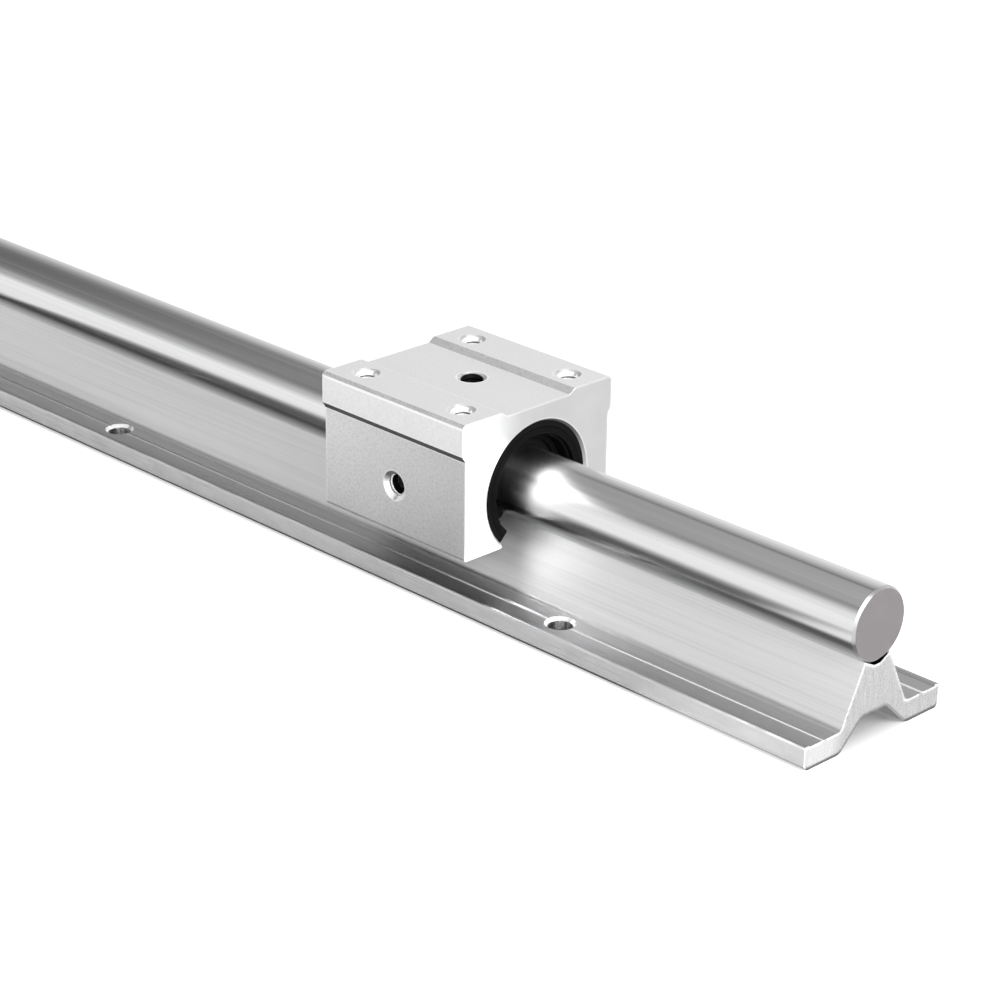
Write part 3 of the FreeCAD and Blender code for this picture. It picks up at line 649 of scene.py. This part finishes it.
def thread_wall(name, mouth, inward, radius, depth, sizes, finish):
    """The thread inside a tapped hole, from its mouth inwards."""
    across = inward.orthogonal().normalized()
    over = inward.cross(across)
    rows = int(depth / sizes.lead * THREAD_STEPS)
    points, faces, crests = [], [], []
    for row in range(rows + 1):
        along = row / THREAD_STEPS * sizes.lead
        for side in range(THREAD_SIDES):
            turn = side / THREAD_SIDES
            tooth = 1 - abs(2 * ((row / THREAD_STEPS + turn) % 1) - 1)
            crest = min(max((tooth - BLUNT) / (1 - 2 * BLUNT), 0), 1)
            crests.append(crest)
            reach = radius - THREAD_GAP - sizes.relief * crest
            angle = 2 * math.pi * turn
            outward = across * math.cos(angle) + over * math.sin(angle)
            points.append(mouth + inward * along + outward * reach)
    for row in range(rows):
        for side in range(THREAD_SIDES):
            a = row * THREAD_SIDES + side
            b = row * THREAD_SIDES + (side + 1) % THREAD_SIDES
            faces.append((a, a + THREAD_SIDES, b + THREAD_SIDES, b))
    mesh = bpy.data.meshes.new(name)
    mesh.from_pydata(points, [], faces)
    mesh.attributes.new("crest", "FLOAT", "POINT").data.foreach_set("value", crests)
    mesh.materials.append(finish)
    mesh.shade_smooth()
    piece = bpy.data.objects.new(name, mesh)
    bpy.context.scene.collection.objects.link(piece)
    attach(piece, "carriage")


# One operator for each piece or group of like pieces


class RAIL_OT_support(bpy.types.Operator):
    """Finish the extruded support"""
    bl_idname = "round_rail.support"
    bl_label = "Support"

    def execute(self, context):
        give_finish(["support_rail"], support_finish(context.scene.rail_colours))
        return {"FINISHED"}


class RAIL_OT_shaft(bpy.types.Operator):
    """Finish the shaft"""
    bl_idname = "round_rail.shaft"
    bl_label = "Shaft"

    def execute(self, context):
        give_finish(["shaft"], shaft_finish(context.scene.rail_colours))
        return {"FINISHED"}


class RAIL_OT_screws(bpy.types.Operator):
    """Finish the screws in the support and in the block's side"""
    bl_idname = "round_rail.screws"
    bl_label = "Screws"

    def execute(self, context):
        finish = dark_finish("black_oxide", context.scene.rail_colours.oxide, 0.0, 0.4, 2.0, 0.1)
        give_finish(["shaft_screw_1", "shaft_screw_2", "side_set_screw"], finish)
        return {"FINISHED"}


class RAIL_OT_block(bpy.types.Operator):
    """Finish the pillow block"""
    bl_idname = "round_rail.block"
    bl_label = "Pillow Block"

    def execute(self, context):
        give_finish(["block_housing"], block_finish(context.scene.rail_colours))
        return {"FINISHED"}


class RAIL_OT_bearing(bpy.types.Operator):
    """Finish the bearing, its wipers and its snap rings"""
    bl_idname = "round_rail.bearing"
    bl_label = "Bearing"

    def execute(self, context):
        colours = context.scene.rail_colours
        give_finish(["bearing_sleeve"], steel_finish(colours))
        give_finish(["ball_retainer"], dark_finish("moulded_plastic", colours.rubber, 0.0, 0.4, 1.0, 0.0))
        give_finish(["wiper_seal_front", "wiper_seal_back"],
                    dark_finish("moulded_rubber", colours.rubber, 0.0, 0.45, 1.5, 0.15))
        give_finish(["snap_ring_front", "snap_ring_back"], ring_finish(colours))
        return {"FINISHED"}


class RAIL_OT_threads(bpy.types.Operator):
    """Cut the threads of the block's tapped holes"""
    bl_idname = "round_rail.threads"
    bl_label = "Threads"

    def execute(self, context):
        sizes = context.scene.rail_threads
        # Near-white thread walls, painted as lit threads, and near-black ones, painted shade past the side
        # hole's first thread and the dark of the grease hole
        bright = thread_finish("cut_thread", (0.95, 0.95, 0.95), 0.2, 0.4)
        dark_threads = thread_finish("greased_thread", (0.006, 0.006, 0.006), 0.0, 0.5)
        down = Vector((0, 0, -1))
        number = 0
        for along in (-1, 1):
            for across in (-1, 1):
                number += 1
                mouth = Vector((BLOCK_MIDDLE + along * sizes.top_pitch / 2, across * sizes.top_gauge / 2,
                                BLOCK_TOP - TOP_START))
                thread_wall("top_hole_thread_%d" % number, mouth, down, sizes.top_radius, TOP_LENGTH, sizes,
                            bright)
        mouth = Vector((BLOCK_MIDDLE + GREASE_OFFSET[0] * MM, GREASE_OFFSET[1] * MM,
                        BLOCK_TOP - GREASE_START))
        thread_wall("grease_hole_thread", mouth, down, sizes.wide_radius, GREASE_LENGTH, sizes, dark_threads)
        flank = NODE_LOW["block_housing"].y + SIDE_STEP
        mouth = Vector((BLOCK_MIDDLE, flank + SIDE_START, sizes.side_height))
        inward, first = Vector((0, 1, 0)), sizes.lead
        thread_wall("side_hole_first_thread", mouth, inward, sizes.wide_radius, first, sizes, bright)
        mouth += inward * first
        depth = NODE_LOW["side_set_screw"].y - mouth.y
        thread_wall("side_hole_thread", mouth, inward, sizes.wide_radius, depth, sizes, dark_threads)
        return {"FINISHED"}


# The stage

FLOOR_HALF = 3.0

# Painted shade lies on the floor along the viewer's side of the rail as a dark band: only bright metal sees
# it. Its distances are from the rail's middle, its ends are along the rail, and towards the far end it
# narrows.
MIRRORED_SHADE_GREY, FLOOR_WHITE = 0.12, 0.95
MIRRORED_SHADE_FULL, MIRRORED_SHADE_EDGE = 0.041, 0.091
MIRRORED_SHADE_NEAR_END, MIRRORED_SHADE_NEAR_FADE = 0.100, 0.118
MIRRORED_SHADE_TAPER_START, MIRRORED_SHADE_TAPER_END, MIRRORED_SHADE_FAR_WIDTH = -0.062, -0.158, 0.33
# A painted shadow on the floor under the arch at each end of the rail: where it starts and ends along the
# rail, and how far it reaches across
SHADE_START, SHADE_END, SHADE_WIDTH = 0.146, 0.153, 0.009

# Further from the rail's middle than this the viewer sees the floor as plain white, like the backdrop
WHITE_START, WHITE_END = 0.45, 0.9

# What mirror-bright metal sees round the rail's axis: angle from straight up towards the viewer's side
# in degrees, and how bright it is there, for the near half of the rail and for the far half
NEAR_STUDIO = [(-92, 0.92), (-66, 0.74), (-49, 0.52), (-39, 0.38), (-35, 0.08), (-33, 0.08), (-29, 0.43),
               (-10, 0.44), (12, 0.45), (32, 0.38), (41, 0.27), (46, 0.4), (50, 0.54), (60, 0.86), (78, 1.0),
               (88, 1.05)]
FAR_STUDIO = [(-92, 0.82), (-66, 0.58), (-49, 0.38), (-34, 0.14), (-22, 0.07), (12, 0.075), (32, 0.11),
              (41, 0.19), (50, 0.29), (60, 0.36), (69, 0.54), (78, 0.92), (88, 0.95)]

# The two rings change over between these directions along the rail
FAR_RING, NEAR_RING = -0.705, -0.655

# Lamps: name, the setting with its power, width, place, what it faces, and whether bright metal mirrors it
LAMPS = [("key_lamp", "key", 0.5, (0.75, -0.15, 0.45), (0.03, 0, 0.02), True),
         ("front_lamp", "front", 0.4, (0.62, -0.62, 0.2), (0.05, 0, 0.02), True),
         ("side_lamp", "side", 0.8, (-0.15, -0.9, 0.35), (0.0, 0, 0.02), False),
         ("top_lamp", "top", 0.7, (-0.3, 0.35, 0.85), (0.0, 0, 0.02), False)]


def mix_shader(tree, factor, first, second):
    """Two shaders mixed by a factor."""
    return add(tree, "MixShader", sockets={0: factor, 1: first.outputs[0], 2: second.outputs[0]})


def studio_ramp(tree, factor, stops):
    """A ring of light and dark round the rail, from its list of angles."""
    return ramp(tree, factor, [(angle / 360 + 0.5, grey) for angle, grey in stops])


def make_room(settings):
    """Soft light from all round; the viewer sees white, and bright metal sees a studio's panels."""
    world = bpy.data.worlds.new("studio")
    bpy.context.scene.world = world
    world.use_nodes = True
    tree = world.node_tree
    tree.nodes.clear()
    ray = add(tree, "LightPath").outputs
    way = split(tree, add(tree, "TexCoord").outputs["Generated"])
    turn = reckon(tree, "ARCTAN2", product(tree, way["Y"], -1.0), way["Z"])
    part = rising(tree, turn, -math.pi, math.pi)
    near, far = studio_ramp(tree, part, NEAR_STUDIO), studio_ramp(tree, part, FAR_STUDIO)
    panels = mix_tone(tree, rising(tree, way["X"], FAR_RING, NEAR_RING), far, near)
    room = add(tree, "Background", sockets={"Color": (1, 1, 1, 1), "Strength": settings.room})
    mirror = add(tree, "Background", sockets={"Color": panels, "Strength": 1.0})
    white = add(tree, "Background", sockets={"Color": (1, 1, 1, 1), "Strength": 1.0})
    shown = mix_shader(tree, ray["Is Glossy Ray"], room, mirror)
    shown = mix_shader(tree, ray["Is Camera Ray"], shown, white)
    shown = mix_shader(tree, ray["Is Transmission Ray"], shown, white)
    add(tree, "OutputWorld", sockets={"Surface": shown.outputs[0]})


def make_floor():
    """Pale floor, nearly white to the viewer apart from the rail's shadow and a painted shadow under the arch
    at each end, and with painted shade that only metal sees.
    """
    mesh = bpy.data.meshes.new("floor")
    reach, level = FLOOR_HALF, -0.05 * MM
    mesh.from_pydata([(-reach, -reach, level), (reach, -reach, level), (reach, reach, level),
                      (-reach, reach, level)], [], [(0, 1, 2, 3)])
    floor = bpy.data.objects.new("floor", mesh)
    bpy.context.scene.collection.objects.link(floor)
    finish = bpy.data.materials.new("pale_floor")
    finish.use_nodes = True
    tree = finish.node_tree
    tree.nodes.clear()
    ray = add(tree, "LightPath").outputs
    place = add(tree, "NewGeometry").outputs["Position"]
    away = add(tree, "VectorMath", {"operation": "LENGTH"}, {0: place}).outputs["Value"]
    spot = split(tree, place)
    # Painted shade that only bright metal sees: a dark band on the floor beside the rail
    taper = rising(tree, spot["X"], MIRRORED_SHADE_TAPER_END, MIRRORED_SHADE_TAPER_START)
    width = spread(tree, reckon(tree, "SQRT", taper), 0.0, 1.0, MIRRORED_SHADE_FAR_WIDTH, 1.0)
    aside = reckon(tree, "DIVIDE", product(tree, spot["Y"], -1.0), width)
    mirrored_shade = product(tree, falling(tree, aside, MIRRORED_SHADE_FULL, MIRRORED_SHADE_EDGE),
                   falling(tree, spot["X"], MIRRORED_SHADE_NEAR_END, MIRRORED_SHADE_NEAR_FADE),
                   reckon(tree, "GREATER_THAN", aside, 0.0))
    along, beside = reckon(tree, "ABSOLUTE", spot["X"]), reckon(tree, "ABSOLUTE", spot["Y"])
    # Painted shadow under the arch at each end of the rail
    shade = product(tree, falling(tree, along, SHADE_START, SHADE_END),
                    falling(tree, beside, SHADE_WIDTH, SHADE_WIDTH * 1.6))
    plain = add(tree, "BsdfDiffuse", sockets={"Color": (0.8, 0.8, 0.8, 1)})
    mirror = add(tree, "Emission", sockets={"Color": ramp(tree, mirrored_shade, [(0, FLOOR_WHITE), (1, MIRRORED_SHADE_GREY)])})
    lit = add(tree, "BsdfDiffuse", sockets={"Color": ramp(tree, shade, [(0, 0.8), (1, 0.4)])})
    glow = add(tree, "Emission", sockets={"Color": ramp(tree, shade, [(0, 0.3), (1, 0.1)])})
    seen = add(tree, "AddShader", sockets={0: lit.outputs[0], 1: glow.outputs[0]})
    white = add(tree, "Emission", sockets={"Color": (1, 1, 1, 1)})
    seen = mix_shader(tree, rising(tree, away, WHITE_START, WHITE_END), seen, white)
    shown = mix_shader(tree, ray["Is Glossy Ray"], plain, mirror)
    shown = mix_shader(tree, ray["Is Camera Ray"], shown, seen)
    add(tree, "OutputMaterial", sockets={"Surface": shown.outputs[0]})
    mesh.materials.append(finish)


def aim(thing, place, target):
    """Stand a lamp at a place and turn it towards a target."""
    thing.location = place
    thing.rotation_euler = (Vector(target) - Vector(place)).to_track_quat("-Z", "Y").to_euler()


def make_lamp(name, power, width, place, target, mirrored):
    """A square soft lamp, which bright metal mirrors or not."""
    lamp = bpy.data.lights.new(name, "AREA")
    lamp.energy = power
    lamp.size = width
    thing = bpy.data.objects.new(name, lamp)
    thing.visible_glossy = mirrored
    bpy.context.scene.collection.objects.link(thing)
    aim(thing, place, target)


def make_camera(settings):
    """The camera where the photograph was taken from."""
    around, up_angle, roll = settings.azimuth, settings.elevation, settings.roll
    back = Vector((math.sin(around) * math.cos(up_angle), -math.cos(around) * math.cos(up_angle),
                   math.sin(up_angle)))
    right = Vector((math.cos(around), math.sin(around), 0))
    up = back.cross(right)
    turned = math.cos(roll) * right + math.sin(roll) * up
    upright = math.cos(roll) * up - math.sin(roll) * right
    sight = bpy.data.cameras.new("camera")
    sight.lens = settings.lens
    sight.sensor_width = 36
    sight.clip_start, sight.clip_end = 0.01, 20
    camera = bpy.data.objects.new("camera", sight)
    bpy.context.scene.collection.objects.link(camera)
    camera.matrix_world = Matrix.Translation(settings.camera_place) @ Matrix(
        (turned, upright, back)).transposed().to_4x4()
    bpy.context.scene.camera = camera


class RAIL_OT_stage(bpy.types.Operator):
    """Set up the floor, the light and the camera"""
    bl_idname = "round_rail.stage"
    bl_label = "Stage"

    def execute(self, context):
        settings = context.scene.rail_stage
        context.scene.view_settings.view_transform = "Standard"
        make_room(settings)
        make_floor()
        for name, power, *where in LAMPS:
            make_lamp(name, getattr(settings, power), *where)
        make_camera(settings)
        return {"FINISHED"}


class RAIL_PT_panel(bpy.types.Panel):
    """Lists the pieces of the round rail"""
    bl_label = "Round Rail"
    bl_idname = "RAIL_PT_panel"
    bl_space_type = "VIEW_3D"
    bl_region_type = "UI"
    bl_category = "Round Rail"

    def draw(self, context):
        for step in STEPS:
            self.layout.operator(step.bl_idname)
        for group in ("rail_threads", "rail_colours", "rail_stage"):
            held = getattr(context.scene, group)
            for name in held.__annotations__:
                self.layout.prop(held, name)


STEPS = (RAIL_OT_support, RAIL_OT_shaft, RAIL_OT_screws, RAIL_OT_block, RAIL_OT_bearing, RAIL_OT_threads,
         RAIL_OT_stage)
GROUPS = {"rail_threads": ThreadSizes, "rail_colours": FinishColours, "rail_stage": StageSettings}
CLASSES = (*GROUPS.values(), *STEPS, RAIL_PT_panel)


def register():
    for made in CLASSES:
        bpy.utils.register_class(made)
    for name, group in GROUPS.items():
        setattr(bpy.types.Scene, name, PointerProperty(type=group))


def unregister():
    for name in GROUPS:
        delattr(bpy.types.Scene, name)
    for made in reversed(CLASSES):
        bpy.utils.unregister_class(made)


def main():
    register()
    bpy.ops.round_rail.support()
    bpy.ops.round_rail.shaft()
    bpy.ops.round_rail.screws()
    bpy.ops.round_rail.block()
    bpy.ops.round_rail.bearing()
    bpy.ops.round_rail.threads()
    bpy.ops.round_rail.stage()


if __name__ == "__main__":
    main()
